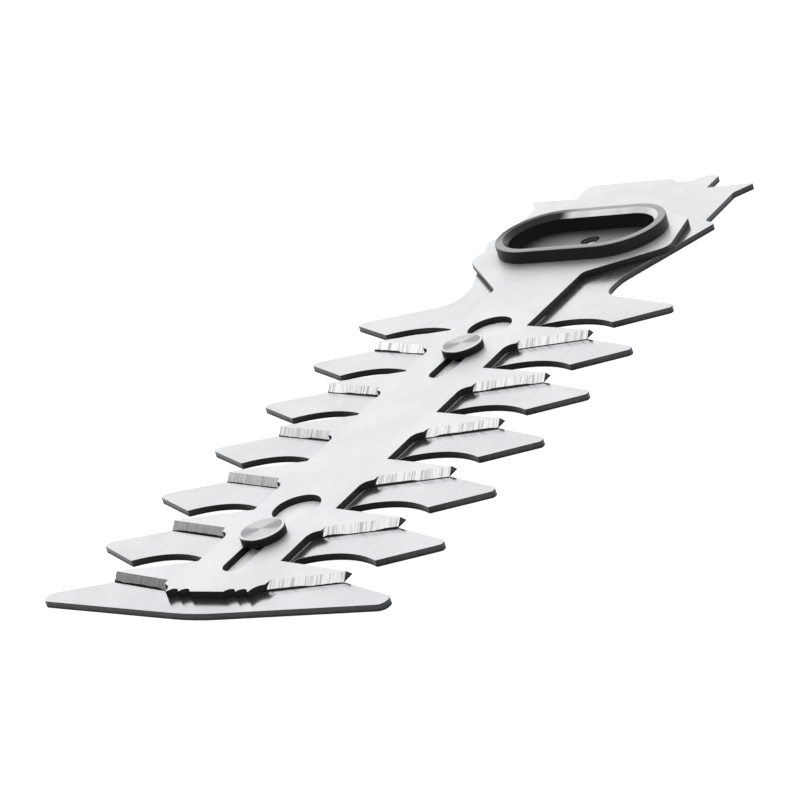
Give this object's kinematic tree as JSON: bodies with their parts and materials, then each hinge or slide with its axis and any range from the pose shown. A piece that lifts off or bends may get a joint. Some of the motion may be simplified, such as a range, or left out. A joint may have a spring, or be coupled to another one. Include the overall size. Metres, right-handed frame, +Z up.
{
  "type": "hedge trimmer blade",
  "caption": "Flat steel comb with hooked teeth on both sides and a ground cutter sliding on it between headed rivets, driven through an oblong black collar.",
  "frame": {"origin": "centre of the drive pilot hole on the underside of the comb", "axes": "+Y along the blade towards the machine, +X to the right seen from above with the nose in front, +Z up through the cutter"},
  "size_m": [0.0676, 0.1707, 0.005],
  "materials": {
    "comb_steel": "satin rolled sheet with stamped edges",
    "cutter_steel": "satin rolled sheet with ground bevels",
    "rivet_steel": "turned",
    "collar_steel": "blackened steel, rubbed bright on the rim"
  },
  "bodies": {
    "comb": {"lower_blade": "comb_steel", "front_guide_rivet": "rivet_steel", "rear_guide_rivet": "rivet_steel"},
    "cutter": {"upper_blade": "cutter_steel", "drive_collar": "collar_steel"}
  },
  "joints": [
    {"name": "cutter_stroke", "type": "slide", "parent": "comb", "child": "cutter", "axis": [0, 1, 0], "range_m": [-0.0033, 0.0085]}
  ]
}
